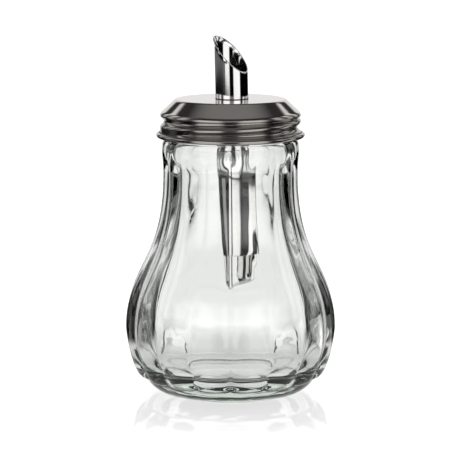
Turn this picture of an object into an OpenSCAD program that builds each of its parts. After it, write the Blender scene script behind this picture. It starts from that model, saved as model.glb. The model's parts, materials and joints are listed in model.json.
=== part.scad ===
// Sugar pourer: a pear-shaped pressed-glass jar with sixteen vertical lobes, closed by a pressed steel
// screw lid that carries a dosing tube with a slanted spout above and a scoop-shaped tongue below.
// Millimetres, +Z up. The origin is the centre of the foot on the table; -Y is the front.

/* [Jar] */
// Height of the glass from the table to its rim
glass_h = 119.6; // [90:0.2:150]
// Radius over the lobes' crests at the widest level
bulb_r = 45; // [36:0.5:56]
// Height of the widest level
bulb_z = 29; // [22:0.5:36]
// Radius over the lobes' crests at the waist
waist_r = 28.8; // [26.5:0.1:36]
// Distance of the waist below the shoulder ring
waist_drop = 8.5; // [6:0.5:16]
// Number of lobes round the jar
lobes = 16; // [10:1:22]
// Depth of the valleys between lobes at the widest level
lobe_depth = 1.7; // [0.6:0.1:3]
// Share of the lobes' depth that shows on the inside
inner_relief = 0.45; // [0:0.05:0.8]
// Thickness of the side wall, measured from the valleys
glass_wall = 2.6; // [2:0.1:4]
// Thickness of the bottom at its centre
floor_t = 7.5; // [5:0.5:12]

/* [Foot] */
// Radius of the ring that stands on the table
foot_r = 25.5; // [18:0.5:30]
// Radius of the rounding between foot and side
heel_round = 12; // [8:0.5:15]
// Height of the hollow under the foot
punt_h = 1.8; // [1:0.1:3]

/* [Neck] */
// Height of the straight finish that the lid screws over, shoulder ring included
finish_h = 17.1; // [14:0.1:22]
// Outer radius of the neck between the threads
neck_r = 27.6; // [24:0.1:34]
// Thickness of the neck's wall
neck_wall = 3.3; // [2.5:0.1:4.5]
// How far the shoulder ring under the lid stands out from the neck
shoulder_step = 1.7; // [0.8:0.1:2.5]
// Height of the shoulder ring with its run into the neck
shoulder_h = 5.6; // [4.5:0.1:7]
// Radius of the rounded rim's edges
rim_round = 1.5; // [0.8:0.1:1.5]

/* [Lid] */
// Thickness of the lid's sheet steel
sheet = 0.5; // [0.4:0.05:0.8]
// Radial room that the screw threads take between neck and lid
thread_room = 1.7; // [1.2:0.1:2.5]
// Height of the lid's top face above the rim of the glass
lid_head = 5.7; // [5:0.1:8]
// Height of the sloping band between top face and skirt
bevel_h = 6; // [4.5:0.1:7]
// Width of the sloping band, seen from above
bevel_w = 6.4; // [5:0.1:8]
// Height left open between the lid's lower edge and the shoulder ring
skirt_gap = 0.8; // [0.5:0.1:3]
// Outer radius of the curl round the lid's lower edge
curl_r = 1.1; // [0.9:0.05:1.5]

/* [Seal] */
// Thickness of the sealing ring
seal_t = 2.2; // [1.5:0.1:2.6]
// Gap between the sealing ring and the turning lid
seal_gap = 0.05; // [0.02:0.01:0.1]

/* [Dosing tube] */
// Outer radius of the tube
tube_r = 7; // [5:0.1:9]
// Wall thickness of the tube
tube_wall = 0.45; // [0.3:0.05:0.8]
// Height of the tube above the lid at the middle of its slanted cut
spout_h = 18.8; // [14:0.2:30]
// Angle of the slanted cut from level
spout_slope = 48; // [30:1:55]
// Direction of the spout's tip
tip_azimuth = 148; // [0:1:359]
// Direction of the tongue
tongue_azimuth = 105; // [0:1:359]
// Lean of the tube towards -X
tube_lean = 1.2; // [0:0.1:4]
// How far off centre, towards +X, the tube passes through the lid
tube_off = 0.6; // [0:0.1:1.5]
// Length of the full tube below the lid's top face
tube_drop = 66.8; // [45:0.1:75]
// Length of the half-round tongue below the full tube
tongue_l = 16.5; // [10:0.5:20]
// How much larger than the tube's radius the rounding of the tongue's end is
tongue_ease = 0.7; // [0.4:0.1:4]
// Share of the tube's half that the tongue gives up on each side
tongue_trim = 0.1; // [0.05:0.05:0.5]
// Width of the flange that holds the tube under the lid
collar_brim = 4; // [3:0.1:7]
// Length of the collar's sleeve
collar_l = 5; // [3:0.5:8]

/* [Hidden] */

// Jar: heights and radii that follow from the sizes above
shoulder_z = glass_h - finish_h;
waist_z = shoulder_z - waist_drop;
neck_bore_r = neck_r - neck_wall;
shoulder_r = neck_r + shoulder_step;
neck_low = shoulder_z + shoulder_h;
heel_angle = -27;            // where the lobes leave the rounded heel
heel = [foot_r + heel_round * cos(heel_angle), heel_round * (1 + sin(heel_angle))];
side_run = bulb_r - heel[0]; // how far the side stands out from the heel
waist_depth = lobe_depth * waist_r / bulb_r;
lobe_steps = 6;              // facets across one lobe
around = lobes * lobe_steps;

// Lid: it stands on the neck's sizes
lid_top = glass_h + lid_head;
skirt_in = neck_r + thread_room;
skirt_out = skirt_in + sheet;
crown_r = skirt_out - bevel_w;
lid_low = neck_low + skirt_gap;
curl_nip = 0.1;              // how far the curl stands inside the skirt's inner face
curl_c = [skirt_in + curl_r - curl_nip, lid_low + curl_r];
bevel_rise = bevel_h / bevel_w;
bevel_skin = sheet * sqrt(1 + bevel_rise * bevel_rise);
fold = 0.2;                  // overlap where the skirt runs into its curl
collar_flange = 0.8;
collar_sleeve = 0.9;
tongue_round = tube_r + tongue_ease;
cut_size = 60;               // side of the blocks that trim the tube

// A point on a cubic curve with the four control points p
function curve(p, t) = (1 - t) ^ 3 * p[0] + 3 * (1 - t) ^ 2 * t * p[1]
    + 3 * (1 - t) * t ^ 2 * p[2] + t ^ 3 * p[3];

// n points along a curve, its first one left out
function along(p, n) = [for (i = [1:n]) curve(p, i / n)];

// n points on an arc from angle a to angle b, its first one left out
function arc(c, r, a, b, n) = [for (i = [1:n]) c + r * [cos(a + (b - a) * i / n), sin(a + (b - a) * i / n)]];

// Height of the bevel's underside at a given radius
function bevel_under(r) = lid_top - bevel_skin - (r - crown_r) * bevel_rise;

// Curve from the bulb up to the waist, for the radius at each of its two ends
function shoulder_sweep(low_r, high_r) = [[low_r, bulb_z], [low_r, bulb_z + 0.37 * (waist_z - bulb_z)],
    [high_r, waist_z - 0.58 * (waist_z - bulb_z)], [high_r, waist_z]];

// Outer guide lines, [radius, height], from the heel up to the shoulder ring: over the lobes' crests
// and along the valleys between them
crest_line = concat(
    along([heel, heel + [0.67 * side_run, -0.8], [bulb_r, bulb_z - 4], [bulb_r, bulb_z]], 7),
    along(shoulder_sweep(bulb_r, waist_r), 9),
    along([[waist_r, waist_z], [waist_r, waist_z + 3], [shoulder_r, shoulder_z - 4],
        [shoulder_r, shoulder_z]], 3));
valley_line = concat(
    along([heel, heel + [0.16 * side_run, 2.8], [bulb_r - lobe_depth, bulb_z - 11],
        [bulb_r - lobe_depth, bulb_z]], 7),
    along(shoulder_sweep(bulb_r - lobe_depth, waist_r - waist_depth), 9),
    along([[waist_r - waist_depth, waist_z], [waist_r - waist_depth, waist_z + 6],
        [shoulder_r - 0.6, shoulder_z - 3], [shoulder_r, shoulder_z]], 3));

// Inner guide line from the neck down to the floor; relief is 1 over the lobes and 0 over the valleys
function inner_line(relief) = let (
        bulb_in = bulb_r - lobe_depth * (1 - inner_relief * relief) - glass_wall,
        waist_in = waist_r - waist_depth * (1 - inner_relief * relief) - glass_wall,
        floor_z = punt_h + floor_t,
        sweep = shoulder_sweep(bulb_in, waist_in))
    concat(
        along([[neck_bore_r, neck_low], [neck_bore_r, shoulder_z],
            [waist_in, waist_z + 4], [waist_in, waist_z]], 3),
        along([sweep[3], sweep[2], sweep[1], sweep[0]], 8),
        along([[bulb_in, bulb_z], [bulb_in, bulb_z - 12], [bulb_in - 2 * glass_wall, floor_z],
            [foot_r, floor_z]], 5));

// The jar's round outlines below and above the lobes
foot_line = concat(
    [[foot_r - 3.5, 0.4], [foot_r - 2, 0], [foot_r, 0]],
    arc([foot_r, heel_round], heel_round, -90, heel_angle, 5));
finish_line = concat(
    along([[shoulder_r, shoulder_z], [shoulder_r, neck_low + 0.6],
        [neck_r + 0.4, neck_low], [neck_r, neck_low]], 4),
    [[neck_r, glass_h - rim_round]],
    arc([neck_r - rim_round, glass_h - rim_round], rim_round, 0, 90, 3),
    arc([neck_bore_r + rim_round, glass_h - rim_round], rim_round, 90, 180, 4),
    [[neck_bore_r, neck_low]]);

// Height of a lobe's round back, from 0 in the valleys to 1 on the crest; a valley lies at the front
function lobe_back(a) = 1 - (2 * abs(a * lobes / 360 - round(a * lobes / 360)) - 1) ^ 2;

// One closed ring of points between its crest and valley outlines
function ring(crest, valley) = [for (j = [0:around - 1])
    let (a = 270 + 360 * j / around, p = valley + (crest - valley) * lobe_back(a - 270))
    [p[0] * cos(a), p[0] * sin(a), p[1]]];

// The whole jar is one loft from the middle of the foot, over rim and wall, to the middle of the floor
module glass_jar() {
    crests = concat(foot_line, crest_line, finish_line, inner_line(1));
    valleys = concat(foot_line, valley_line, finish_line, inner_line(0));
    last = len(crests) - 1;
    points = concat(
        [for (i = [0:last]) each ring(crests[i], valleys[i])],
        [[0, 0, punt_h], [0, 0, punt_h + floor_t]]);
    foot_mid = (last + 1) * around;
    floor_mid = foot_mid + 1;
    faces = concat(
        [for (j = [0:around - 1]) [foot_mid, j, (j + 1) % around]],
        [for (i = [0:last - 1], j = [0:around - 1])
            let (a = i * around + j, b = i * around + (j + 1) % around)
            each [[a, a + around, b], [b, a + around, b + around]]],
        [for (j = [0:around - 1]) [floor_mid, last * around + (j + 1) % around, last * around + j]]);
    color("lightcyan", 0.45) polyhedron(points, faces, convexity = 8);
}

// The tube's own frame: its axis leans where it passes through the lid's top face
module tube_frame() {
    translate([tube_off, 0, lid_top]) rotate([0, -tube_lean, 0]) children();
}

// A pressed steel cap: flat crown, sloping bevel, straight skirt, and a curled lower edge
module lid_shell() {
    skirt_top = lid_top - bevel_h;
    color("lightsteelblue") difference() {
        union() {
            rotate_extrude($fn = 128) polygon([
                [0, lid_top - sheet], [0, lid_top], [crown_r, lid_top], [skirt_out, skirt_top],
                [skirt_out, curl_c[1] - fold], [skirt_in, curl_c[1] - fold],
                [skirt_in, bevel_under(skirt_in)],
                [crown_r + (bevel_skin - sheet) / -bevel_rise, lid_top - sheet]]);
            // The curl is three quarters of a ring that opens towards the skirt
            rotate_extrude($fn = 128) translate(curl_c) difference() {
                circle(curl_r, $fn = 48);
                circle(curl_r - sheet, $fn = 48);
                translate([-curl_r, 0]) square([curl_r, curl_r]);
            }
        }
        tube_frame() translate([0, 0, -cut_size / 2]) cylinder(h = cut_size, r = tube_r, $fn = 96);
    }
}

// A flat ring that the lid presses on the rim of the glass, bevelled to follow the lid from below
module lid_seal() {
    seal_in = neck_bore_r + 0.5;
    seal_out = neck_r + 0.6;
    top = glass_h + seal_t;
    bevel_start = crown_r + (lid_top - bevel_skin - seal_gap - top) / bevel_rise;
    edge_z = bevel_under(seal_out) - seal_gap;
    color("whitesmoke") rotate_extrude($fn = 128) polygon([
        [seal_in, glass_h], [seal_out, glass_h], [seal_out, edge_z],
        [bevel_start, top], [seal_in, top]]);
}

// The tube with its slanted spout, and the half-round tongue that ladles out one dose
module dosing_tube() {
    step = -tube_drop;
    end = step - tongue_l;
    color("silver") tube_frame() difference() {
        rotate([0, 0, tongue_azimuth]) translate([0, 0, end]) linear_extrude(spout_h + cut_size - end)
            difference() {
                circle(tube_r, $fn = 96);
                circle(tube_r - tube_wall, $fn = 96);
            }
        // Slanted spout
        rotate([0, 0, tip_azimuth]) translate([0, 0, spout_h]) rotate([0, -spout_slope, 0])
            translate([-cut_size, -cut_size / 2, 0]) cube([2 * cut_size, cut_size, 2 * cut_size]);
        rotate([0, 0, tongue_azimuth]) {
            // A little more than half of the tube is cut away below the step
            translate([tube_r * tongue_trim - cut_size, -cut_size / 2, end - 1])
                cube([cut_size, cut_size, tongue_l + 1]);
            // The tongue's end is round
            translate([0, 0, end + tongue_round]) rotate([0, 90, 0]) linear_extrude(cut_size) difference() {
                translate([0, -cut_size / 2]) square([cut_size, cut_size]);
                circle(tongue_round, $fn = 96);
            }
        }
    }
}

// A flanged sleeve, pressed on the tube and welded under the crown
module tube_collar() {
    crown_under = lid_top - sheet;
    color("gainsboro") difference() {
        union() {
            translate([tube_off, 0, crown_under - collar_flange])
                cylinder(h = collar_flange, r = tube_r + collar_brim, $fn = 96);
            tube_frame() translate([0, 0, -sheet - collar_l]) cylinder(h = collar_l - collar_flange / 2,
                r = tube_r + collar_sleeve, $fn = 96);
        }
        tube_frame() translate([0, 0, -cut_size / 2]) cylinder(h = cut_size, r = tube_r, $fn = 96);
    }
}

glass_jar();
lid_shell();
lid_seal();
dosing_tube();
tube_collar();
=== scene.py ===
"""Sugar pourer: the visual model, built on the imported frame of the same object."""

import json
import math

import bmesh
import bpy
from bpy.props import FloatProperty, FloatVectorProperty, IntProperty, PointerProperty
from mathutils import Matrix, Vector


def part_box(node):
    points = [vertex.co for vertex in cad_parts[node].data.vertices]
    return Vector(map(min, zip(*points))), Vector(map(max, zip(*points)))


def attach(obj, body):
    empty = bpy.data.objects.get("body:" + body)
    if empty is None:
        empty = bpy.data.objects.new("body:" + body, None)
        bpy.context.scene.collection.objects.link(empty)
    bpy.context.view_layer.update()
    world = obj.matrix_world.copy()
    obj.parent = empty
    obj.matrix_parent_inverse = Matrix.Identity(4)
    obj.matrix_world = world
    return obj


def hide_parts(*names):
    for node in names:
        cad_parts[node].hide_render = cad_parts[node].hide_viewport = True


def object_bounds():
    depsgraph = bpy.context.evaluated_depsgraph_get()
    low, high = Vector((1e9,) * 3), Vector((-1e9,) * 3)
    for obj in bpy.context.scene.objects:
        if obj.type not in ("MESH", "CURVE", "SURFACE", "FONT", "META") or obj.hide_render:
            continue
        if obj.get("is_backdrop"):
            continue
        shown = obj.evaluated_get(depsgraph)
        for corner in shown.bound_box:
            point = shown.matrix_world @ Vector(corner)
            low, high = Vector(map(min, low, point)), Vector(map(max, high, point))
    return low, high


bl_info = {
    "name": "Sugar Pourer",
    "version": (1, 0, 0),
    "blender": (4, 5, 0),
    "location": "View3D > Sidebar > Sugar Pourer",
    "description": "Builds a lobed glass sugar pourer with its screw lid and dosing tube",
    "category": "Add Mesh",
}

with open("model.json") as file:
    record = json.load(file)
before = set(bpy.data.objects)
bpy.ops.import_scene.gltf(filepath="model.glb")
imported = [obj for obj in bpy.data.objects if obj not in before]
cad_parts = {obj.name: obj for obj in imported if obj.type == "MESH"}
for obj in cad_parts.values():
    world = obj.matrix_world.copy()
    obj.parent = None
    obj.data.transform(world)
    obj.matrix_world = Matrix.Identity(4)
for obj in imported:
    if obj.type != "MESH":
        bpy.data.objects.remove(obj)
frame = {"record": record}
CAD_LOW, CAD_HIGH = (corner.copy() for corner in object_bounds())
JAR_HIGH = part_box("glass_jar")[1]
LID_LOW, LID_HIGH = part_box("lid_shell")
SEAL_LOW, SEAL_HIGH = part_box("lid_seal")
COLLAR_LOW, COLLAR_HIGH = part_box("tube_collar")
COUPLING = frame["record"]["behaviour"]["couplings"][0]
THREAD_PITCH = COUPLING["ratio"] * 2 * math.pi
TUBE_GAP = 0.00002  # between the tube and the holes it passes through


def length(name, text, default):
    """A size in metres, as a user would change it."""
    return FloatProperty(name=name, description=text, default=default, min=0.0, precision=5,
                         unit="LENGTH", subtype="DISTANCE")


def number(name, text, default, **limits):
    """A plain number, as a user would change it."""
    return FloatProperty(name=name, description=text, default=default, **limits)


def angle(name, text, degrees):
    """An angle, as a user would change it."""
    return number(name, text, math.radians(degrees), subtype="ANGLE")


def tint(name, text, default):
    """A colour, as a user would change it."""
    return FloatVectorProperty(name=name, description=text, default=default, size=3, min=0.0, max=1.0,
                               subtype="COLOR")


# ---- sizes and colours


class JarSizes(bpy.types.PropertyGroup):
    """Sizes of the glass jar."""

    lobes: IntProperty(name="Lobes", description="Number of lobes round the jar", default=16, min=3)
    height: length("Height", "Height of the glass", JAR_HIGH.z)
    bulb_r: length("Bulb radius", "Radius over the lobes at the widest level", 0.045)
    bulb_z: length("Bulb height", "Height of the widest level", 0.029)
    waist_r: length("Waist radius", "Radius over the lobes at the waist", 0.0288)
    waist_drop: length("Waist drop", "Distance of the waist below the shoulder ring", 0.0085)
    lobe_depth: length("Lobe depth", "Depth of the valleys at the widest level", 0.0017)
    relief: number("Inner relief", "Share of the lobes' depth shown inside", 0.45, min=0.0, max=1.0)
    wall: length("Wall", "Thickness of the side wall under the valleys", 0.0026)
    floor: length("Floor", "Thickness of the bottom", 0.0075)
    foot_r: length("Foot radius", "Radius of the ring that stands on the table", 0.0255)
    heel_round: length("Heel rounding", "Radius of the rounding above the foot", 0.012)
    heel_angle: angle("Heel angle", "Where the lobes leave the heel", -27)
    punt: length("Punt", "Height of the hollow under the foot", 0.0018)
    finish: length("Finish", "Height of the neck with its shoulder ring", 0.0171)
    neck_r: length("Neck radius", "Outer radius of the neck between the threads", 0.0276)
    neck_wall: length("Neck wall", "Thickness of the neck", 0.0033)
    shoulder_step: length("Shoulder step", "How far the shoulder ring stands out", 0.0017)
    shoulder_h: length("Shoulder height", "Height of the shoulder ring and its run", 0.0056)
    rim_round: length("Rim rounding", "Rounding of the rim's edges", 0.0015)
    soften: number("Valley softness", "Rounding of the valleys, in lobes", 0.022, min=0.0)


class ThreadSizes(bpy.types.PropertyGroup):
    """Sizes of the screw thread on the neck and in the lid's skirt."""

    pitch: length("Pitch", "Rise in one turn", THREAD_PITCH)
    root_z: length("Groove height", "Height of the lid's groove on the +X side", 0.1134)
    groove_depth: length("Groove depth", "Depth of the groove rolled into the skirt", 0.0015)
    groove_half: length("Groove half width", "Half of the groove's width", 0.00254)
    ridge_height: length("Ridge height", "Height of the glass thread", 0.00122)
    ridge_half: length("Ridge half width", "Half of the glass thread's width", 0.0013)
    groove_start: number("Groove start", "Turn where the groove starts", -0.39)
    groove_end: number("Groove end", "Turn where the groove ends", 1.14)
    ridge_start: number("Ridge start", "Turn where the ridge starts", -0.16)
    ridge_end: number("Ridge end", "Turn where the ridge ends", 1.24)
    fade: number("Run-out", "Turns over which a thread runs out", 0.05, min=0.001)


class LidSizes(bpy.types.PropertyGroup):
    """Sizes of the pressed lid and its sealing ring."""

    sheet: length("Sheet", "Thickness of the lid's steel", 0.0005)
    bevel_h: length("Bevel height", "Height of the sloping band", 0.006)
    bevel_w: length("Bevel width", "Width of the sloping band", 0.0064)
    skirt_r: length("Skirt radius", "Outer radius of the skirt", 0.0298)
    curl_r: length("Curl radius", "Outer radius of the curled edge", 0.0011)
    crown_round: length("Crown rounding", "Rounding between crown and bevel", 0.0009)
    shoulder_round: length("Shoulder rounding", "Rounding between bevel and skirt", 0.0011)
    seal_round: length("Seal rounding", "Rounding of the sealing ring's edges", 0.00025)


class TubeSizes(bpy.types.PropertyGroup):
    """Sizes of the dosing tube and its collar."""

    radius: length("Radius", "Outer radius of the tube", 0.007)
    wall: length("Wall", "Wall thickness of the tube", 0.00045)
    spout_h: length("Spout height", "Height of the slanted cut's middle over the lid", 0.0188)
    spout_slope: angle("Spout slope", "Angle of the slanted cut from level", 48)
    tip_azimuth: angle("Tip azimuth", "Direction of the spout's tip", 148)
    tongue_azimuth: angle("Tongue azimuth", "Direction of the tongue", 105)
    lean: angle("Lean", "Lean of the tube's top towards -X", 1.2)
    off: length("Off centre", "How far towards +X the tube passes through the lid", 0.0006)
    drop: length("Drop", "Length of the full tube below the lid's top", 0.0668)
    tongue: length("Tongue", "Length of the half-round tongue", 0.0165)
    tongue_round: length("Tongue rounding", "Radius of the tongue's end", 0.0077)
    tongue_trim: number("Tongue trim", "Share of the half that the tongue gives up", 0.1, min=0.0)
    lip: length("Lip", "How far the tip is turned outwards", 0.0005)
    sleeve: length("Sleeve", "Wall of the collar's sleeve", 0.0009)
    brim: length("Brim", "Thickness of the collar's flange", 0.0008)


class FinishColours(bpy.types.PropertyGroup):
    """Colours of the materials."""

    glass: tint("Glass", "Tint of the clear glass", (0.99, 0.993, 0.988))
    glass_depth: tint("Glass depth", "Tint that thick glass takes on", (0.80, 0.85, 0.80))
    lid: tint("Lid", "Polished lid", (0.58, 0.55, 0.52))
    # painted shade: how much darker the skirt's colour is painted, standing in for the dark surroundings it
    # mirrors
    skirt_painted_shade: number("Skirt darkness", "How much darker the satin skirt is", 0.42)
    tube: tint("Tube", "Polished tube", (0.8, 0.795, 0.785))
    collar: tint("Collar", "Pressed collar", (0.6, 0.6, 0.59))
    seal: tint("Seal", "Sealing ring", (0.83, 0.82, 0.79))
    floor: tint("Floor", "Studio floor", (0.3, 0.3, 0.3))


class StageSizes(bpy.types.PropertyGroup):
    """The studio round the pourer."""

    distance: length("Distance", "Distance of the camera from the jar's axis", 1.1)
    height: length("Height", "Height of the camera", 0.235)
    aim: length("Aim", "Height at which the camera looks", 0.07)
    lens: number("Lens", "Focal length in millimetres", 206.5, min=1.0)
    shift: number("Shift", "Sideways shift of the picture", -0.0055)
    floor_r: length("Floor radius", "Radius of the studio floor", 4.0)
    top_power: number("Top power", "Watts of the overhead light", 9.0, min=0.0)


# ---- outlines


def cubic(points, t):
    """A point on the cubic curve with four control points."""
    a, b, c, d = (Vector(p) for p in points)
    s = 1 - t
    return s ** 3 * a + 3 * s * s * t * b + 3 * s * t * t * c + t ** 3 * d


def along(points, count):
    """count points along a cubic curve, its first one left out."""
    return [cubic(points, i / count) for i in range(1, count + 1)]


def arc(centre, radius, start, end, count):
    """count points on an arc between two angles in degrees, its first one left out."""
    angles = (math.radians(start + (end - start) * i / count) for i in range(1, count + 1))
    return [Vector((centre[0] + radius * math.cos(a), centre[1] + radius * math.sin(a))) for a in angles]


def straight(start, end, count):
    """count points on a straight line, its first one left out."""
    return [Vector(start).lerp(Vector(end), i / count) for i in range(1, count + 1)]


def rounded(corner, before, after, radius, count=5):
    """Points that round a corner of an outline."""
    corner = Vector(corner)
    to_before = (Vector(before) - corner).normalized()
    to_after = (Vector(after) - corner).normalized()
    first = corner + to_before * radius
    last = corner + to_after * radius
    return [first] + along([first, corner.lerp(first, 0.42), corner.lerp(last, 0.42), last], count)


def shoulder_sweep(jar, waist_z, low_r, high_r):
    """Control points of the curve from the bulb up to the waist."""
    rise = waist_z - jar.bulb_z
    return [(low_r, jar.bulb_z), (low_r, jar.bulb_z + 0.37 * rise), (high_r, waist_z - 0.58 * rise),
            (high_r, waist_z)]


def jar_outlines(jar):
    """The jar's closed outline over the lobes, the same along the valleys, and where the thread lies."""
    shoulder_z = jar.height - jar.finish
    waist_z = shoulder_z - jar.waist_drop
    shoulder_r = jar.neck_r + jar.shoulder_step
    bore_r = jar.neck_r - jar.neck_wall
    neck_low = shoulder_z + jar.shoulder_h
    heel = Vector((jar.foot_r + jar.heel_round * math.cos(jar.heel_angle),
                   jar.heel_round * (1 + math.sin(jar.heel_angle))))
    run = jar.bulb_r - heel[0]
    waist_depth = jar.lobe_depth * jar.waist_r / jar.bulb_r
    floor_z = jar.punt + jar.floor

    foot = [Vector((0.0, jar.punt)), Vector((jar.foot_r * 0.35, jar.punt)),
            Vector((jar.foot_r * 0.62, jar.punt * 0.93))]
    foot += along([foot[-1], (jar.foot_r * 0.8, jar.punt * 0.85), (jar.foot_r - 0.004, 0.0002),
                   (jar.foot_r - 0.0025, 0.0)], 8)
    foot += straight(foot[-1], (jar.foot_r, 0.0), 2)
    foot += arc((jar.foot_r, jar.heel_round), jar.heel_round, -90, math.degrees(jar.heel_angle), 12)

    def side(bulb, waist, lean_out, low_in, high_out):
        lines = along([heel, heel + Vector(lean_out), (bulb, jar.bulb_z - low_in), (bulb, jar.bulb_z)], 20)
        lines += along(shoulder_sweep(jar, waist_z, bulb, waist), 30)
        lines += along([(waist, waist_z), (waist, waist_z + high_out),
                        (shoulder_r - 0.0004, shoulder_z - 0.0032), (shoulder_r, shoulder_z)], 12)
        return lines

    crest = side(jar.bulb_r, jar.waist_r, (0.67 * run, -0.0008), 0.004, 0.003)
    valley = side(jar.bulb_r - jar.lobe_depth, jar.waist_r - waist_depth, (0.16 * run, 0.0028), 0.011, 0.006)

    neck = along([(shoulder_r, shoulder_z), (shoulder_r, neck_low + 0.0006), (jar.neck_r + 0.0004, neck_low),
                  (jar.neck_r, neck_low)], 10)
    thread = straight(neck[-1], (jar.neck_r, jar.height - jar.rim_round), 34)
    rim = arc((jar.neck_r - jar.rim_round, jar.height - jar.rim_round), jar.rim_round, 0, 90, 7)
    rim += arc((bore_r + jar.rim_round, jar.height - jar.rim_round), jar.rim_round, 90, 180, 8)
    rim += straight(rim[-1], (bore_r, neck_low), 4)

    def inside(show):
        bulb = jar.bulb_r - jar.lobe_depth * (1 - jar.relief * show) - jar.wall
        waist = jar.waist_r - waist_depth * (1 - jar.relief * show) - jar.wall
        sweep = shoulder_sweep(jar, waist_z, bulb, waist)
        lines = along([(bore_r, neck_low), (bore_r, shoulder_z), (waist, waist_z + 0.004),
                       (waist, waist_z)], 8)
        lines += along(sweep[::-1], 26)
        lines += along([(bulb, jar.bulb_z), (bulb, jar.bulb_z - 0.012), (bulb - 2 * jar.wall, floor_z),
                        (jar.foot_r, floor_z)], 18)
        lines += along([(jar.foot_r, floor_z), (jar.foot_r * 0.7, floor_z),
                        (jar.foot_r * 0.3, floor_z - 0.0004), (0.0, floor_z - 0.0004)], 6)
        return lines

    crests = foot + crest + neck + thread + rim + inside(1.0)
    valleys = foot + valley + neck + thread + rim + inside(0.0)
    start = len(foot) + len(crest) + len(neck)
    weights = [1.0 if start <= i < start + len(thread) - 2 else 0.0 for i in range(len(crests))]
    return crests, valleys, weights


def lid_outline(lid, tube_r):
    """The lid's closed outline, outside first, and where the rolled thread lies."""
    top = LID_HIGH.z
    skirt_top = top - lid.bevel_h
    crown_r = lid.skirt_r - lid.bevel_w
    curl_z = LID_LOW.z + lid.curl_r
    slope = Vector((lid.bevel_w, -lid.bevel_h)).normalized()
    crown = (crown_r, top)
    shoulder = (lid.skirt_r, skirt_top)
    back_r = lid.skirt_r - lid.sheet
    outside = [Vector((tube_r + lid.sheet * out, top - lid.sheet * down))
               for out, down in ((0, 0.3), (0.1, 0.1), (0.3, 0))]
    outside += straight(outside[-1], (crown_r - 0.002, top), 10)
    outside += rounded(crown, (0, top), shoulder, lid.crown_round, 6)
    outside += straight(outside[-1], Vector(shoulder) - slope * lid.shoulder_round, 8)
    outside += rounded(shoulder, crown, (lid.skirt_r, curl_z), lid.shoulder_round, 7)[1:]
    skirt_start = len(outside)
    foot_z = curl_z + 0.0009
    outside += straight(outside[-1], (lid.skirt_r, foot_z), 40)
    skirt_end = len(outside)
    curl_x = back_r + lid.curl_r
    roll_in = lid.curl_r - lid.sheet
    # The curl rolls outwards and ends three quarters round, its cut edge rounded
    outside += along([(lid.skirt_r, foot_z), (lid.skirt_r, curl_z + 0.0003),
                      (curl_x - roll_in, curl_z + 0.0002), (curl_x - roll_in, curl_z)], 4)
    outside += arc((curl_x, curl_z), roll_in, 180, 450, 22)
    edge = (curl_x, curl_z + lid.curl_r - lid.sheet / 2)
    outside += arc(edge, lid.sheet / 2, 270, 90, 5)[:-1]
    inside = [Vector((curl_x, curl_z + lid.curl_r))] + arc((curl_x, curl_z), lid.curl_r, 90, -180, 26)
    inside += along([inside[-1], inside[-1] + Vector((0, 0.0004)), (back_r, foot_z - 0.0003),
                     (back_r, foot_z)], 4)
    rise = lid.bevel_h / lid.bevel_w
    steep = math.sqrt(1 + rise * rise)
    inner_skirt = (back_r, skirt_top - lid.sheet * (steep - rise))
    inner_crown = (crown_r - lid.sheet * (steep - 1) / rise, top - lid.sheet)
    back_start = len(outside) + len(inside)
    inside += straight(inside[-1], (back_r, skirt_top - lid.shoulder_round), 40)
    back_end = len(outside) + len(inside)
    inside += rounded(inner_skirt, (back_r, 0), inner_crown, lid.shoulder_round * 0.6, 6)
    inside += straight(inside[-1], inner_crown, 8)
    inside += straight(inside[-1], (tube_r, top - lid.sheet), 8)
    line = outside + inside
    line.append(line[0].copy())
    weights = []
    for i, point in enumerate(line):
        on_skirt = skirt_start <= i < skirt_end or back_start <= i < back_end
        ease = min(1.0, max(0.0, (point[1] - foot_z) / 0.0012))
        ease *= min(1.0, max(0.0, (skirt_top - lid.shoulder_round * 0.9 - point[1]) / 0.0008))
        weights.append(ease * ease * (3 - 2 * ease) if on_skirt else 0.0)
    return line, weights


def seal_outline(lid):
    """The sealing ring's closed outline."""
    rise = lid.bevel_h / lid.bevel_w
    top = SEAL_HIGH.z
    low = SEAL_LOW.z
    skin = lid.sheet * math.sqrt(1 + rise * rise)
    crown_r = lid.skirt_r - lid.bevel_w
    gap = 0.00005
    inner = SEAL_HIGH.x - 0.0034
    bevel_start = crown_r + (LID_HIGH.z - skin - gap - top) / rise
    edge_z = LID_HIGH.z - skin - gap - (SEAL_HIGH.x - crown_r) * rise
    corners = [(inner, low), (SEAL_HIGH.x, low), (SEAL_HIGH.x, edge_z), (bevel_start, top), (inner, top)]
    line = []
    for i, corner in enumerate(corners):
        before, after = corners[i - 1], corners[(i + 1) % len(corners)]
        reach = min(lid.seal_round, (Vector(after) - Vector(corner)).length * 0.45,
                    (Vector(before) - Vector(corner)).length * 0.45)
        line += rounded(corner, before, after, reach, 4)
    line.append(line[0].copy())
    return line


# ---- geometry nodes


def feed(tree, value, socket):
    """Links a socket to another one, or sets it to a plain value."""
    if isinstance(value, bpy.types.NodeSocket):
        tree.links.new(value, socket)
    else:
        socket.default_value = value


def calc(tree, operation, *values, clamp=False):
    """A math node fed by sockets or plain numbers; returns its output."""
    node = tree.nodes.new("ShaderNodeMath")
    node.operation = operation
    node.use_clamp = clamp
    for socket, value in zip(node.inputs, values):
        feed(tree, value, socket)
    return node.outputs[0]


def times(tree, product, *others):
    """The product of sockets and plain numbers."""
    for value in others:
        product = calc(tree, "MULTIPLY", product, value)
    return product


def plus(tree, one, other, clamp=False):
    """The sum of two sockets or plain numbers."""
    return calc(tree, "ADD", one, other, clamp=clamp)


def minus(tree, one, other):
    """What is left of one when the other is taken away."""
    return calc(tree, "SUBTRACT", one, other)


def largest(tree, *values):
    """The largest of some values."""
    top = values[0]
    for value in values[1:]:
        top = calc(tree, "MAXIMUM", top, value)
    return top


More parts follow.
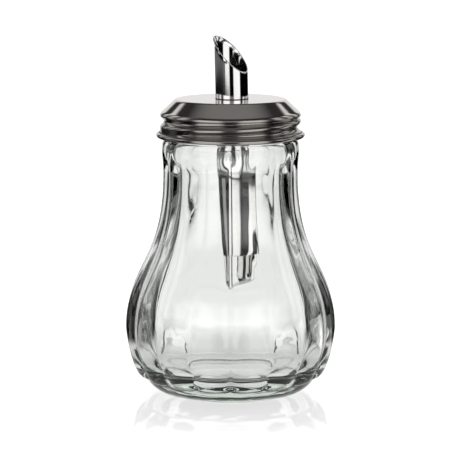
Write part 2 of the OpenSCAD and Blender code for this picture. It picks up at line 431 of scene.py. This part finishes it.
def ramp(tree, low, high, value):
    """0 below low, 1 above high and smooth between."""
    node = tree.nodes.new("ShaderNodeMapRange")
    node.interpolation_type = "SMOOTHSTEP"
    for name, given in (("Value", value), ("From Min", low), ("From Max", high)):
        feed(tree, given, node.inputs[name])
    return node.outputs["Result"]


def band(tree, value, low, high, soft):
    """1 between low and high, with soft ends."""
    return times(tree, ramp(tree, low - soft, low + soft, value),
                 minus(tree, 1, ramp(tree, high - soft, high + soft, value)))


def axes(tree, vector):
    """The outputs X, Y and Z of a vector."""
    node = tree.nodes.new("ShaderNodeSeparateXYZ")
    tree.links.new(vector, node.inputs[0])
    return node.outputs


def joined(tree, x, y, z):
    """A vector of three values; an axis left out is None."""
    node = tree.nodes.new("ShaderNodeCombineXYZ")
    for axis, value in zip(node.inputs, (x, y, z)):
        if value:
            tree.links.new(value, axis)
    return node.outputs[0]


def off_axis(tree, spot):
    """Distance from the Z axis."""
    squares = [times(tree, spot[axis], spot[axis]) for axis in "XY"]
    return calc(tree, "SQRT", plus(tree, *squares))


def scaled(tree, vector, scale):
    """A colour, given as a socket or as numbers, times a value."""
    node = tree.nodes.new("ShaderNodeVectorMath")
    node.operation = "SCALE"
    feed(tree, vector, node.inputs["Vector"])
    tree.links.new(scale, node.inputs["Scale"])
    return node.outputs["Vector"]


WELD = 2e-6  # points of the grid closer than this become one


def from_outline(tree, outline, data_type, value, index):
    """A value of the outline's point with that index."""
    node = tree.nodes.new("GeometryNodeSampleIndex")
    node.data_type = data_type
    node.domain = "POINT"
    tree.links.new(outline, node.inputs["Geometry"])
    tree.links.new(value, next(s for s in node.inputs if s.name == "Value" and s.enabled))
    tree.links.new(index, node.inputs["Index"])
    return next(s for s in node.outputs if s.enabled)


def named(tree, name, data_type):
    """A named attribute's values."""
    node = tree.nodes.new("GeometryNodeInputNamedAttribute")
    node.data_type = data_type
    node.inputs["Name"].default_value = name
    return next(s for s in node.outputs if s.enabled)


def threaded_lathe():
    """Node tree that turns an outline round Z, with lobes from its valley line and a screw thread."""
    tree = bpy.data.node_groups.new("threaded_lathe", "GeometryNodeTree")
    face = tree.interface
    floats = ("Softness", "Thread Height", "Thread Pitch", "Thread Depth", "Thread Half Width",
              "Thread Start", "Thread End", "Thread Fade")
    for kind, names in (("Geometry", ("Geometry",)), ("Int", ("Around", "Lobes")), ("Float", floats),
                        ("Material", ("Material",))):
        for name in names:
            face.new_socket(name, in_out="INPUT", socket_type="NodeSocket" + kind)
    face.new_socket("Geometry", in_out="OUTPUT", socket_type="NodeSocketGeometry")
    given = tree.nodes.new("NodeGroupInput").outputs
    outline = given["Geometry"]

    size = tree.nodes.new("GeometryNodeAttributeDomainSize")
    tree.links.new(outline, size.inputs["Geometry"])
    count = size.outputs["Point Count"]
    grid = tree.nodes.new("GeometryNodeMeshGrid")
    tree.links.new(plus(tree, given["Around"], 1), grid.inputs["Vertices X"])
    tree.links.new(count, grid.inputs["Vertices Y"])

    index = tree.nodes.new("GeometryNodeInputIndex").outputs[0]
    column = calc(tree, "FLOOR", calc(tree, "DIVIDE", plus(tree, index, 0.5), count))
    row = minus(tree, index, times(tree, column, count))
    share = calc(tree, "DIVIDE", column, given["Around"])
    turn = minus(tree, share, 0.25)
    turned_by = times(tree, turn, 2 * math.pi)

    position = tree.nodes.new("GeometryNodeInputPosition").outputs[0]
    crest = axes(tree, from_outline(tree, outline, "FLOAT_VECTOR", position, row))
    valley_line = named(tree, "valley", "FLOAT_VECTOR")
    valley = axes(tree, from_outline(tree, outline, "FLOAT_VECTOR", valley_line, row))
    threaded = from_outline(tree, outline, "FLOAT", named(tree, "thread", "FLOAT"), row)

    # A lobe's back is a parabola between two valleys, and the valleys are slightly rounded
    lobe = times(tree, share, given["Lobes"])
    offset = minus(tree, lobe, calc(tree, "ROUND", lobe))
    away = calc(tree, "SQRT", plus(tree, times(tree, offset, offset),
                                   times(tree, given["Softness"], given["Softness"])))
    dip = minus(tree, times(tree, away, 2), 1)
    back = minus(tree, 1, times(tree, dip, dip))

    def between(name):
        step = minus(tree, crest[name], valley[name])
        return plus(tree, valley[name], times(tree, step, back))

    radius, height = between("X"), between("Z")

    # The thread's middle line climbs one pitch a turn; every point takes the nearest of its turns
    climb = calc(tree, "DIVIDE", minus(tree, height, given["Thread Height"]), given["Thread Pitch"])
    phase = minus(tree, climb, turn)
    whole = calc(tree, "ROUND", phase)
    aside = times(tree, calc(tree, "ABSOLUTE", minus(tree, phase, whole)), given["Thread Pitch"])
    travelled = plus(tree, turn, whole)
    start, stop, fade = (given["Thread " + name] for name in ("Start", "End", "Fade"))
    begun = ramp(tree, start, plus(tree, start, fade), travelled)
    left = ramp(tree, minus(tree, stop, fade), stop, travelled)
    across = calc(tree, "DIVIDE", aside, given["Thread Half Width"], clamp=True)
    bump = calc(tree, "COSINE", times(tree, across, math.pi / 2))
    bump = times(tree, bump, bump)
    push = times(tree, given["Thread Depth"], threaded, bump, begun, minus(tree, 1, left))
    radius = plus(tree, radius, push)

    place = joined(tree, times(tree, radius, calc(tree, "COSINE", turned_by)),
                   times(tree, radius, calc(tree, "SINE", turned_by)), height)
    steps = [tree.nodes.new("GeometryNode" + kind) for kind in (
        "SetPosition", "MergeByDistance", "SetShadeSmooth", "RealizeInstances", "SetMaterial")]
    steps.append(tree.nodes.new("NodeGroupOutput"))
    tree.links.new(place, steps[0].inputs["Position"])
    steps[1].inputs["Distance"].default_value = WELD
    tree.links.new(given["Material"], steps[4].inputs["Material"])
    before = grid.outputs["Mesh"]
    for step in steps:
        tree.links.new(before, step.inputs["Geometry"])
        before = step.outputs[0] if step.outputs else None
    return tree


def placed(name, data):
    """A new object in the scene."""
    thing = bpy.data.objects.new(name, data)
    bpy.context.scene.collection.objects.link(thing)
    return thing


def turned(name, crest, valley, weights, material, **inputs):
    """A piece turned from its outline by the lathe tree, as a plain closed mesh."""
    mesh = bpy.data.meshes.new(name + "_outline")
    mesh.from_pydata([(p[0], 0.0, p[1]) for p in crest], [(i, i + 1) for i in range(len(crest) - 1)], [])
    low = mesh.attributes.new("valley", "FLOAT_VECTOR", "POINT")
    low.data.foreach_set("vector", [v for p in valley for v in (p[0], 0.0, p[1])])
    share = mesh.attributes.new("thread", "FLOAT", "POINT")
    share.data.foreach_set("value", weights)
    rough = placed(name + "_outline", mesh)
    tree = bpy.data.node_groups.get("threaded_lathe") or threaded_lathe()
    lathe = rough.modifiers.new("lathe", "NODES")
    lathe.node_group = tree
    values = {"Around": 192, "Lobes": 1, "Softness": 0.0, "Thread Height": 0.0, "Thread Pitch": THREAD_PITCH,
              "Thread Depth": 0.0, "Thread Half Width": 0.001, "Thread Start": 0.0, "Thread End": 1.0,
              "Thread Fade": 0.05, "Material": material}
    values.update({key.replace("_", " ").title(): value for key, value in inputs.items()})
    for item in tree.interface.items_tree:
        if item.in_out == "INPUT" and item.name in values:
            lathe[item.identifier] = values[item.name]
    bpy.context.view_layer.update()
    shown = rough.evaluated_get(bpy.context.evaluated_depsgraph_get())
    final = bpy.data.meshes.new_from_object(shown)
    bpy.data.objects.remove(rough)
    bpy.data.meshes.remove(mesh)
    return finished(name, final)


def finished(name, mesh):
    """An object at the origin whose closed mesh faces outwards."""
    shape = bmesh.new()
    shape.from_mesh(mesh)
    bmesh.ops.recalc_face_normals(shape, faces=shape.faces)
    if shape.calc_volume(signed=True) < 0:
        bmesh.ops.reverse_faces(shape, faces=shape.faces)
    for surface in shape.faces:
        surface.smooth = True
    shape.to_mesh(mesh)
    shape.free()
    mesh.name = name
    return placed(name, mesh)


def tube_mesh(name, tube, top_z):
    """The tube as one closed skin: outer wall, slanted cut with its lip, inner wall and tongue edge."""
    inner = tube.radius - tube.wall
    bevel = tube.wall * 0.2
    step = -tube.drop
    end = step - tube.tongue
    side = math.acos(tube.tongue_trim)
    turn = tube.tip_azimuth - tube.tongue_azimuth
    nook = 0.0008
    reach = 0.0022
    tongue_columns, step_columns, rows = 60, 36, 40

    def low_edge(radius, phi):
        """Height of the lower edge: the tongue's round end in front, the step behind."""
        if phi <= side:
            across = radius * math.sin(phi)
            return end + tube.tongue_round - math.sqrt(tube.tongue_round ** 2 - across ** 2)
        gone = min(nook, (phi - side) * tube.radius)
        return step - (nook - math.sqrt(nook ** 2 - (nook - gone) ** 2))

    # Half of the lower edge, from the tongue's middle over its side to the back: (angle, height share)
    curve_n = int(tongue_columns * 0.55)
    half = [(side * i / curve_n, side * i / tongue_columns, None) for i in range(curve_n)]
    corner_z = low_edge(tube.radius, side)
    side_n = tongue_columns - curve_n
    for i in range(side_n + 1):
        z = corner_z + (step - nook - corner_z) * i / side_n
        half.append((side, side * (curve_n + i) / tongue_columns, z))
    for i in range(1, step_columns + 1):
        gone = (i / step_columns) ** 1.6
        phi = side + (math.pi - side) * gone
        half.append((phi, phi, None))
    ring = half + [(-a, -b, z) for a, b, z in half[-2:0:-1]]

    def spot(radius, column, share):
        """A point of the wall; share runs from 0 at the slanted cut to 1 at the lower edge."""
        phi_low, phi_top, z_low = column
        if z_low is None:
            z_low = low_edge(radius, abs(phi_low))
        z_top = tube.spout_h + radius * math.cos(phi_top - turn) * math.tan(tube.spout_slope)
        phi = phi_top + (phi_low - phi_top) * share
        z = z_top + (z_low - z_top) * share
        away = (z_top - z) / reach
        flare = max(0.0, 0.25 + 0.75 * math.cos(phi - turn)) * math.exp(-away * away * 6) * tube.lip
        wide = radius + flare
        return Vector((wide * math.cos(phi), wide * math.sin(phi), z))

    shares = [0.0015, 0.003, 0.006, 0.010, 0.015, 0.021, 0.030] + [
        0.03 + 0.968 * (i / rows) for i in range(1, rows + 1)]
    shape = bmesh.new()
    loops = []
    for column in ring:
        line = [spot(tube.radius, column, share) for share in shares]
        line += [spot(tube.radius - bevel, column, 1.0), spot(inner + bevel, column, 1.0)]
        line += [spot(inner, column, share) for share in reversed(shares)]
        line += [spot(inner + bevel, column, 0.0), spot(tube.radius - bevel, column, 0.0)]
        loops.append([shape.verts.new(point) for point in line])
    for i, here in enumerate(loops):
        there = loops[(i + 1) % len(loops)]
        for j, vert in enumerate(here):
            k = (j + 1) % len(here)
            shape.faces.new((vert, there[j], there[k], here[k]))
    place = (Matrix.Translation((tube.off, 0, top_z)) @ Matrix.Rotation(-tube.lean, 4, "Y")
             @ Matrix.Rotation(tube.tongue_azimuth, 4, "Z"))
    bmesh.ops.transform(shape, matrix=place, verts=shape.verts)
    mesh = bpy.data.meshes.new(name)
    shape.to_mesh(mesh)
    shape.free()
    return mesh


def collar_outline(tube):
    """The collar's closed outline: a thin flange and a sleeve, joined by a small fillet."""
    top, low = COLLAR_HIGH.z, COLLAR_LOW.z
    brim_r = (COLLAR_HIGH.x - COLLAR_LOW.x) / 2
    brim_z = top - tube.brim
    sleeve_r = tube.radius + tube.sleeve
    bore = tube.radius + TUBE_GAP
    corners = [((bore, low), 0.0001), ((sleeve_r, low), 0.0004), ((sleeve_r, brim_z), 0.0006),
               ((brim_r, brim_z), 0.00025), ((brim_r, top), 0.00015), ((bore, top), 0.0001)]
    line = []
    for i, (corner, radius) in enumerate(corners):
        line += rounded(corner, corners[i - 1][0], corners[(i + 1) % len(corners)][0], radius, 5)
    line.append(line[0].copy())
    return line


# ---- materials


def group(name, inputs, outputs):
    """A new shader node group with its input and output nodes."""
    tree = bpy.data.node_groups.new(name, "ShaderNodeTree")
    for label, kind, value in inputs:
        socket = tree.interface.new_socket(label, in_out="INPUT", socket_type="NodeSocket" + kind)
        if value is not None:
            socket.default_value = value
    for label, kind in outputs:
        tree.interface.new_socket(label, in_out="OUTPUT", socket_type="NodeSocket" + kind)
    return tree, tree.nodes.new("NodeGroupInput").outputs, tree.nodes.new("NodeGroupOutput").inputs


def noise(tree, vector, scale, detail=3.0, roughness=0.5):
    """A noise texture's value."""
    node = tree.nodes.new("ShaderNodeTexNoise")
    node.inputs["Detail"].default_value = detail
    node.inputs["Roughness"].default_value = roughness
    tree.links.new(vector, node.inputs["Vector"])
    feed(tree, scale, node.inputs["Scale"])
    return node.outputs["Fac"]


BROAD_SCALE, BROAD_SHARE = 42.0, 0.65  # patches of wear about as wide as a finger
FINE_SCALE, FINE_SHARE = 480.0, 0.35  # and specks


def fine_wear():
    """Shader group: roughness and tone varied by handling and cleaning."""
    tree, given, result = group("fine_wear", [
        ("Vector", "Vector", None), ("Roughness", "Float", 0.1), ("Spread", "Float", 0.05),
        ("Color", "Color", None), ("Tone", "Float", 0.05)], [("Roughness", "Float"), ("Color", "Color")])
    broad = noise(tree, given["Vector"], BROAD_SCALE)
    fine = noise(tree, given["Vector"], FINE_SCALE, detail=4.0)
    both = plus(tree, times(tree, broad, BROAD_SHARE), times(tree, fine, FINE_SHARE))
    swing = times(tree, minus(tree, both, 0.5), 2)
    rough = plus(tree, given["Roughness"], times(tree, swing, given["Spread"]), clamp=True)
    tree.links.new(rough, result["Roughness"])
    shade = plus(tree, 1, times(tree, swing, given["Tone"]))
    tree.links.new(scaled(tree, given["Color"], shade), result["Color"])
    return tree


def spun_grain():
    """Shader group: height of the hair-fine rings that turning and polishing leave."""
    tree, given, result = group("spun_grain", [("Vector", "Vector", None), ("Rings", "Float", 2500.0)],
                                [("Height", "Float")])
    spot = axes(tree, given["Vector"])
    rings = joined(tree, off_axis(tree, spot), None, spot["Z"])
    tree.links.new(noise(tree, rings, given["Rings"], 2.0, 0.6), result["Height"])
    return tree


def pressed_waves():
    """Shader group: height of the gentle unevenness that a mould leaves in glass."""
    tree, given, result = group("pressed_waves", [
        ("Vector", "Vector", None), ("Scale", "Float", 60.0),
        ("Stretch", "Float", 0.35)], [("Height", "Float")])
    spot = axes(tree, given["Vector"])
    drawn = joined(tree, spot["X"], spot["Y"], times(tree, spot["Z"], given["Stretch"]))
    tree.links.new(noise(tree, drawn, given["Scale"], 2.0), result["Height"])
    return tree


def placed_group(tree, maker, vector, **values):
    """A node of a shader group, built when first used, with its vector linked and its other inputs set."""
    node = tree.nodes.new("ShaderNodeGroup")
    node.node_tree = bpy.data.node_groups.get(maker.__name__) or maker()
    tree.links.new(vector, node.inputs["Vector"])
    for name, value in values.items():
        node.inputs[name].default_value = value
    return node


def worn(tree, shader, place, colour, roughness, spread, tone):
    """Gives a shader its colour and roughness through the wear group, and returns that group's node."""
    wear = placed_group(tree, fine_wear, place, Roughness=roughness, Spread=spread,
                        Color=(*colour, 1.0), Tone=tone)
    tree.links.new(wear.outputs["Color"], shader.inputs["Base Color"])
    tree.links.new(wear.outputs["Roughness"], shader.inputs["Roughness"])
    return wear


def new_material(name):
    """A material with only a Principled shader; returns it with its tree, shader and Object coordinates."""
    material = bpy.data.materials.new(name)
    material.use_nodes = True
    tree = material.node_tree
    tree.nodes.clear()
    output = tree.nodes.new("ShaderNodeOutputMaterial")
    shader = tree.nodes.new("ShaderNodeBsdfPrincipled")
    tree.links.new(shader.outputs["BSDF"], output.inputs["Surface"])
    return material, tree, shader, tree.nodes.new("ShaderNodeTexCoord").outputs["Object"]


def bumped(tree, shader, height, depth):
    """Feeds a height through a Bump node into the shader's normal."""
    bump = tree.nodes.new("ShaderNodeBump")
    bump.inputs["Strength"].default_value = 1.0
    bump.inputs["Distance"].default_value = depth
    tree.links.new(height, bump.inputs["Height"])
    tree.links.new(bump.outputs["Normal"], shader.inputs["Normal"])


SATIN_SHADE_EDGE = 0.0004  # softness of the step between polished and satin with its painted shade
# Painted shade on the tube where it meets the lid's top: the ring's softness and depth
JOINT_SHADE_EDGE = 0.0001
JOINT_SHADE_DARK = 0.8  # how much the painted shade ring darkens the tube where it meets the lid


def below_height(tree, place, height, soft):
    """Mask that is 1 below a height and 0 above it."""
    return minus(tree, 1, ramp(tree, height - soft, height + soft, axes(tree, place)["Z"]))


def steel(name, colour, roughness, spread, rings, depth, satin_and_shade=None, joint_shade=None):
    """Polished metal with turned rings and handling wear, perhaps satin and darkened with painted shade
    below a height, or with a ring of painted shade at a joint.
    """
    material, tree, shader, place = new_material(name)
    wear = worn(tree, shader, place, colour, roughness, spread, tone=0.05)
    share = None
    if satin_and_shade:
        height, shade_depth, rough = satin_and_shade
        # below the height: real satin roughness, and painted shade that darkens the colour
        lower = below_height(tree, place, height, SATIN_SHADE_EDGE)
        share = minus(tree, 1, times(tree, lower, shade_depth))
        tree.links.new(plus(tree, roughness, times(tree, lower, rough)), wear.inputs["Roughness"])
    # painted shade: a darker ring on the tube where it meets the lid
    if joint_shade:
        low, high = (below_height(tree, place, height, JOINT_SHADE_EDGE) for height in joint_shade)
        ring = minus(tree, high, low)
        share = minus(tree, 1, times(tree, ring, JOINT_SHADE_DARK))
    if share:
        tree.links.new(scaled(tree, colour, share), wear.inputs["Color"])
    shader.inputs["Metallic"].default_value = 1.0
    grain = placed_group(tree, spun_grain, place, Rings=rings)
    bumped(tree, shader, grain.outputs["Height"], depth)
    return material


GLASS_IOR = 1.5
GLASS_TINT_DENSITY = 30.0  # how soon thick glass takes on its tint
WAVE_DEPTH = 0.00035


def clear_glass(colours):
    """Clear pressed glass, slightly green in the depth."""
    material, tree, shader, place = new_material("clear_glass")
    worn(tree, shader, place, colours.glass, 0.012, 0.01, tone=0.01)
    shader.inputs["Transmission Weight"].default_value = 1.0
    shader.inputs["IOR"].default_value = GLASS_IOR
    waves = placed_group(tree, pressed_waves, place)
    bumped(tree, shader, waves.outputs["Height"], WAVE_DEPTH)
    depth = tree.nodes.new("ShaderNodeVolumeAbsorption")
    depth.inputs["Color"].default_value = (*colours.glass_depth, 1.0)
    depth.inputs["Density"].default_value = GLASS_TINT_DENSITY
    tree.links.new(depth.outputs["Volume"], tree.nodes["Material Output"].inputs["Volume"])
    return material


def seal_plastic(colours):
    """Milky plastic with a moulded, slightly grainy face."""
    material, tree, shader, place = new_material("seal_plastic")
    worn(tree, shader, place, colours.seal, 0.45, 0.12, tone=0.06)
    bumped(tree, shader, noise(tree, place, 2200.0), 0.00003)
    return material


# ---- operators


def mounted(piece, body, node):
    """Gives a piece its place in the frame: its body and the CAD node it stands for."""
    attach(piece, body)
    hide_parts(node)


def screw(thread, part, height, depth):
    """The lathe's inputs for the glass's ridge or the lid's groove."""
    return {"thread_height": height, "thread_pitch": thread.pitch, "thread_depth": depth,
            "thread_half_width": getattr(thread, part + "_half"), "thread_fade": thread.fade,
            "thread_start": getattr(thread, part + "_start"), "thread_end": getattr(thread, part + "_end")}


class Building:
    """What all operators here share: they build something and are done."""

    def execute(self, context):
        self.build(context.scene)
        return {"FINISHED"}


class POURER_OT_jar(Building, bpy.types.Operator):
    """Build the lobed glass jar with its screw neck"""

    bl_idname = "pourer.jar"
    bl_label = "Glass jar"

    def build(self, scene):
        jar, thread = scene.pourer_jar, scene.pourer_thread
        crest, valley, weights = jar_outlines(jar)
        piece = turned("jar_glass", crest, valley, weights, clear_glass(scene.pourer_colours),
                       around=16 * jar.lobes, lobes=jar.lobes, softness=jar.soften,
                       **screw(thread, "ridge", thread.root_z - thread.pitch / 2, thread.ridge_height))
        mounted(piece, "jar", "glass_jar")


class POURER_OT_lid(Building, bpy.types.Operator):
    """Build the pressed screw lid with its rolled thread and curled edge"""

    bl_idname = "pourer.lid"
    bl_label = "Screw lid"

    def build(self, scene):
        lid, thread, tube = scene.pourer_lid, scene.pourer_thread, scene.pourer_tube
        colours = scene.pourer_colours
        line, weights = lid_outline(lid, tube.radius + TUBE_GAP)
        # The skirt is satin and its colour is darkened with painted shade, up to just above its rounding
        # into the bevel
        skin = steel("polished_lid", colours.lid, roughness=0.09, spread=0.04, rings=2600.0, depth=0.0000006,
                     satin_and_shade=(LID_HIGH.z - lid.bevel_h + 0.0002, colours.skirt_painted_shade, 0.1))
        piece = turned("lid_cap", line, line, weights, skin, around=256,
                       **screw(thread, "groove", thread.root_z, -thread.groove_depth))
        # The flat crown is pulled sideways round its hole, which lies off centre
        for vert in piece.data.vertices:
            reach = (math.hypot(vert.co.x, vert.co.y) - tube.radius) / (2 * tube.radius)
            if reach < 1:
                vert.co.x += tube.off * (1 - max(0.0, reach) ** 2) ** 2
        mounted(piece, "lid", "lid_shell")


class POURER_OT_seal(Building, bpy.types.Operator):
    """Build the sealing ring between glass and lid"""

    bl_idname = "pourer.seal"
    bl_label = "Sealing ring"

    def build(self, scene):
        line = seal_outline(scene.pourer_lid)
        piece = turned("lid_ring", line, line, [0.0] * len(line), seal_plastic(scene.pourer_colours),
                       around=160)
        mounted(piece, "seal", "lid_seal")


class POURER_OT_tube(Building, bpy.types.Operator):
    """Build the dosing tube with its slanted spout and its tongue"""

    bl_idname = "pourer.tube"
    bl_label = "Dosing tube"

    def build(self, scene):
        mesh = tube_mesh("dosing_pipe", scene.pourer_tube, LID_HIGH.z)
        mesh.materials.append(steel("polished_tube", scene.pourer_colours.tube, roughness=0.07,
                                    spread=0.03, rings=1800.0, depth=0.0000005,
                                    # painted shade ring where the tube meets the lid's top
                                    joint_shade=(LID_HIGH.z - 0.0002, LID_HIGH.z + 0.00035)))
        mounted(finished("dosing_pipe", mesh), "lid", "dosing_tube")


class POURER_OT_collar(Building, bpy.types.Operator):
    """Build the collar that holds the tube under the lid"""

    bl_idname = "pourer.collar"
    bl_label = "Tube collar"

    def build(self, scene):
        tube = scene.pourer_tube
        line = collar_outline(tube)
        skin = steel("pressed_collar", scene.pourer_colours.collar, roughness=0.22, spread=0.08,
                     rings=1500.0, depth=0.000001)
        piece = turned("tube_flange", line, line, [0.0] * len(line), skin, around=128)
        slant = math.tan(tube.lean)
        for vert in piece.data.vertices:
            vert.co.x += tube.off + (LID_HIGH.z - vert.co.z) * slant
        mounted(piece, "lid", "tube_collar")


class POURER_OT_stage(Building, bpy.types.Operator):
    """Build the studio: floor, light and camera"""

    bl_idname = "pourer.stage"
    bl_label = "Studio"

    def build(self, scene):
        stage = scene.pourer_stage
        studio_floor(stage, scene.pourer_colours)
        studio_world(scene)
        studio_lights(stage)
        studio_camera(scene, stage)
        scene.view_settings.view_transform = "Standard"


PIECES = (POURER_OT_jar, POURER_OT_lid, POURER_OT_seal, POURER_OT_tube, POURER_OT_collar,
          POURER_OT_stage)


# ---- studio

# How bright the white behind and below shows through the glass
PAPER = 0.95
FLOOR_PAPER = 0.78 * PAPER
# Narrow white strips on each side: where each begins and ends and how soft it is, in degrees
FLOOR_STRIPS = ((62, 80, 2.5),)
WORLD_STRIPS = ((36, 46, 1.5), (56, 70, 1.5), (82, 100, 1.5))
LEFT_STRIP = 0.3  # brightness of the floor's strip on the left; on the right it is white
# Parts of the floor by distance: what the glass and the tube in it show, what the skirt mirrors,
# and where what the spout mirrors begins
GLASS_SEES = (0.05, 0.8)
SKIRT_SEES = (0.87, 1.24)
SPOUT_SEES = (1.2, 1.3)
COVER_GREY = 0.13  # brightness of a cover on the floor's left, which the spout mirrors
LEFT_GREY = 0.14  # brightness of the studio's left side
BRIDGE = 0.7  # brightness behind the camera, just above level
BOX_GAIN = 0.7  # how much brighter the boxes are just above level
CEILING = 0.26
DARK = 0.04
MIRROR = 0.3  # strength of the floor's mirror image near the jar
GLOW_NEAR, GLOW_STEP = 0.68, 0.42  # the floor's own light near the jar, and what is added farther out
EDGE = 0.04  # softness of an edge across the floor or over the height


def aside_of(tree, spot):
    """Angle from the direction behind the jar, the same on its left and right."""
    return calc(tree, "ARCTAN2", calc(tree, "ABSOLUTE", spot["X"]), spot["Y"])


def facing(tree, aside, low, high, soft):
    """Mask of the directions between two angles, all in degrees."""
    return band(tree, aside, math.radians(low), math.radians(high), math.radians(soft))


def panels(tree, aside, soft):
    """Where the white panels stand: one behind the jar and one on each side of the camera."""
    return facing(tree, aside, -60, 24, 2.5), facing(tree, aside, 120, 166, soft)


def strips(tree, aside, spans):
    """Where narrow white strips stand on each side, which draw bright lines in the glass's edges."""
    return largest(tree, *(facing(tree, aside, *span) for span in spans))


def studio_floor(stage, colours):
    """A plain white floor that mirrors near the jar; glass and metal see it white only below the panels."""
    material, tree, shader, place = new_material("studio_floor")
    shader.inputs["Roughness"].default_value = 0.05
    shader.inputs["IOR"].default_value = 1.45
    spot = axes(tree, place)
    away = off_axis(tree, spot)
    aside = aside_of(tree, spot)
    far = ramp(tree, 0.05, 0.15, away)
    tree.links.new(times(tree, minus(tree, 1, far), MIRROR), shader.inputs["Specular IOR Level"])
    near = minus(tree, 1, ramp(tree, 0.06, 0.12, away))
    backdrop, boxes = panels(tree, aside, 3)
    gap = minus(tree, 1, band(tree, away, *SKIRT_SEES, 0.03))
    on_left = times(tree, ramp(tree, *SPOUT_SEES, away), calc(tree, "LESS_THAN", spot["X"], 0.0))
    cover = times(tree, on_left, facing(tree, aside, 30, 136, 3))
    boxes = times(tree, boxes, minus(tree, gap, cover))
    boxes = largest(tree, boxes, times(tree, cover, COVER_GREY))
    sides = times(tree, strips(tree, aside, FLOOR_STRIPS), band(tree, away, *GLASS_SEES, EDGE))
    to_right = calc(tree, "GREATER_THAN", spot["X"], 0.0)
    sides = times(tree, sides, plus(tree, LEFT_STRIP, times(tree, to_right, 1 - LEFT_STRIP)))
    rays = tree.nodes.new("ShaderNodeLightPath").outputs
    shown = largest(tree, times(tree, largest(tree, near, backdrop), FLOOR_PAPER), boxes, sides,
                    rays["Is Camera Ray"], rays["Is Diffuse Ray"])
    tree.links.new(scaled(tree, colours.floor, shown), shader.inputs["Base Color"])
    shader.inputs["Emission Color"].default_value = (1.0, 1.0, 1.0, 1.0)
    glow = plus(tree, GLOW_NEAR, times(tree, far, GLOW_STEP))
    tree.links.new(times(tree, glow, shown), shader.inputs["Emission Strength"])
    shape = bmesh.new()
    bmesh.ops.create_circle(shape, cap_ends=True, segments=96, radius=stage.floor_r)
    mesh = bpy.data.meshes.new("studio_floor")
    shape.to_mesh(mesh)
    shape.free()
    mesh.materials.append(material)
    floor = placed("studio_floor", mesh)
    floor.location.z = -0.00002
    floor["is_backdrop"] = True


def studio_world(scene):
    """White panels and strips round the jar, a dim ceiling, and darkness between."""
    world = bpy.data.worlds.new("studio")
    world.use_nodes = True
    scene.world = world
    tree = world.node_tree
    tree.nodes.clear()
    spot = axes(tree, tree.nodes.new("ShaderNodeTexCoord").outputs["Object"])
    height = spot["Z"]
    aside = aside_of(tree, spot)
    backdrop, boxes = panels(tree, aside, 9)
    backdrop = times(tree, backdrop, band(tree, height, -0.7, 0.5, 0.05), PAPER)
    gain = plus(tree, 1, times(tree, band(tree, height, 0.08, 0.6, 0.05), BOX_GAIN))
    boxes = times(tree, boxes, times(tree, band(tree, height, -0.5, 0.42, 0.08), gain))
    left = times(tree, facing(tree, aside, 70, 110, 4), calc(tree, "LESS_THAN", spot["X"], 0.0))
    bridge = times(tree, ramp(tree, 2.08, 2.18, aside), band(tree, height, 0.12, 0.42, 0.06))
    sides = times(tree, strips(tree, aside, WORLD_STRIPS), band(tree, height, 0.04, 0.6, EDGE))
    ceiling = times(tree, ramp(tree, 0.7, 0.98, height), CEILING)
    lit = largest(tree, backdrop, boxes, times(tree, bridge, BRIDGE), sides, times(tree, left, LEFT_GREY),
                  ceiling, DARK)
    rays = tree.nodes.new("ShaderNodeLightPath").outputs
    background = tree.nodes.new("ShaderNodeBackground")
    tree.links.new(largest(tree, lit, rays["Is Camera Ray"]), background.inputs["Color"])
    output = tree.nodes.new("ShaderNodeOutputWorld")
    tree.links.new(background.outputs[0], output.inputs["Surface"])


def studio_lights(stage):
    """One large soft light overhead that polished metal and glass don't show."""
    data = bpy.data.lights.new("overhead", "AREA")
    data.shape = "RECTANGLE"
    data.size, data.size_y = 1.6, 1.6
    data.energy = stage.top_power
    light = placed("overhead", data)
    light.location = (0.0, 0.1, 1.4)
    light.visible_glossy = False
    light.visible_transmission = False


def studio_camera(scene, stage):
    """The camera in front of the jar, slightly above it."""
    data = bpy.data.cameras.new("studio_camera")
    data.lens = stage.lens
    data.sensor_width = 36.0
    data.shift_x = stage.shift
    data.clip_start = 0.01
    data.clip_end = 50.0
    camera = placed("studio_camera", data)
    camera.location = (0.0, -stage.distance, stage.height)
    pitch = math.atan2(stage.height - stage.aim, stage.distance)
    camera.rotation_euler = (math.pi / 2 - pitch, 0.0, 0.0)
    scene.camera = camera


# ---- panel and registration


class POURER_PT_panel(bpy.types.Panel):
    """Lists the pieces of the sugar pourer"""

    bl_idname = "POURER_PT_panel"
    bl_label = "Sugar Pourer"
    bl_space_type = "VIEW_3D"
    bl_region_type = "UI"
    bl_category = "Sugar Pourer"

    def draw(self, context):
        for operator in PIECES:
            self.layout.operator(operator.bl_idname)
        for name, (label, _) in GROUPS.items():
            group_box = self.layout.box()
            group_box.label(text=label)
            sizes = getattr(context.scene, name)
            for key in sizes.bl_rna.properties.keys():
                if key not in ("rna_type", "name"):
                    group_box.prop(sizes, key)


GROUPS = {"pourer_jar": ("Jar", JarSizes), "pourer_thread": ("Thread", ThreadSizes),
          "pourer_lid": ("Lid", LidSizes), "pourer_tube": ("Tube", TubeSizes),
          "pourer_colours": ("Colours", FinishColours), "pourer_stage": ("Studio", StageSizes)}
CLASSES = (*(kind for _, kind in GROUPS.values()), *PIECES, POURER_PT_panel)


def register():
    for kind in CLASSES:
        bpy.utils.register_class(kind)
    for name, (_, kind) in GROUPS.items():
        setattr(bpy.types.Scene, name, PointerProperty(type=kind))


def unregister():
    for name in GROUPS:
        delattr(bpy.types.Scene, name)
    for kind in reversed(CLASSES):
        bpy.utils.unregister_class(kind)


def main():
    register()
    for name in ("jar", "lid", "seal", "tube", "collar", "stage"):
        getattr(bpy.ops.pourer, name)()


if __name__ == "__main__":
    main()
